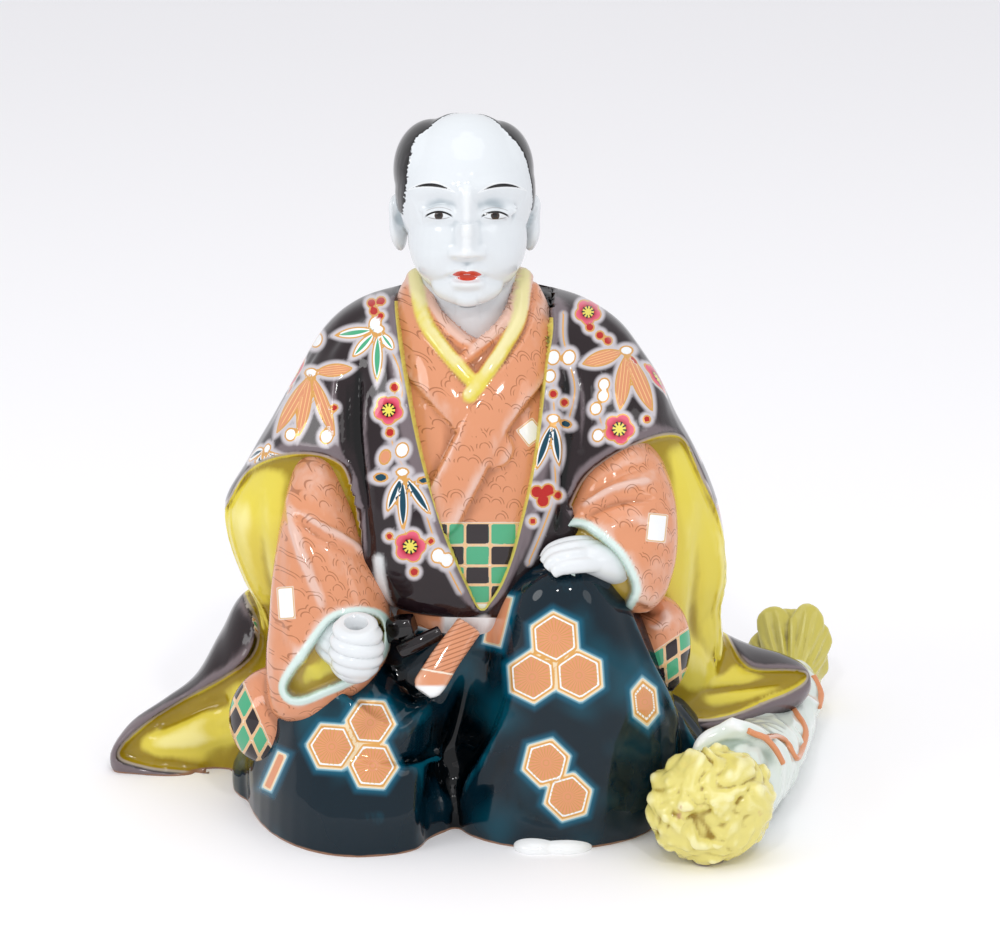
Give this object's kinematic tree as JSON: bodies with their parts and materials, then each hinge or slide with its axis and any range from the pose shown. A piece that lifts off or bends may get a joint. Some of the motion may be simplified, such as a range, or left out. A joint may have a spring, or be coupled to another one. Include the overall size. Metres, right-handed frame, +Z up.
{
  "type": "porcelain male figurine",
  "caption": "Painted porcelain figurine of a seated man in a long coat, one hand a hollow fist, with a tied bundle lying at his side.",
  "frame": {"origin": "on the flat underside, below the seated body", "axes": "+Z up, the figure looks along -Y, and the bundle lies on its +X side"},
  "size_m": [0.269, 0.1781, 0.2398],
  "materials": {
    "glazed_porcelain": "glazed white porcelain painted in glossy overglaze enamels with gilt lines"
  },
  "bodies": {
    "root": {"figurine": "glazed_porcelain"}
  },
  "joints": []
}
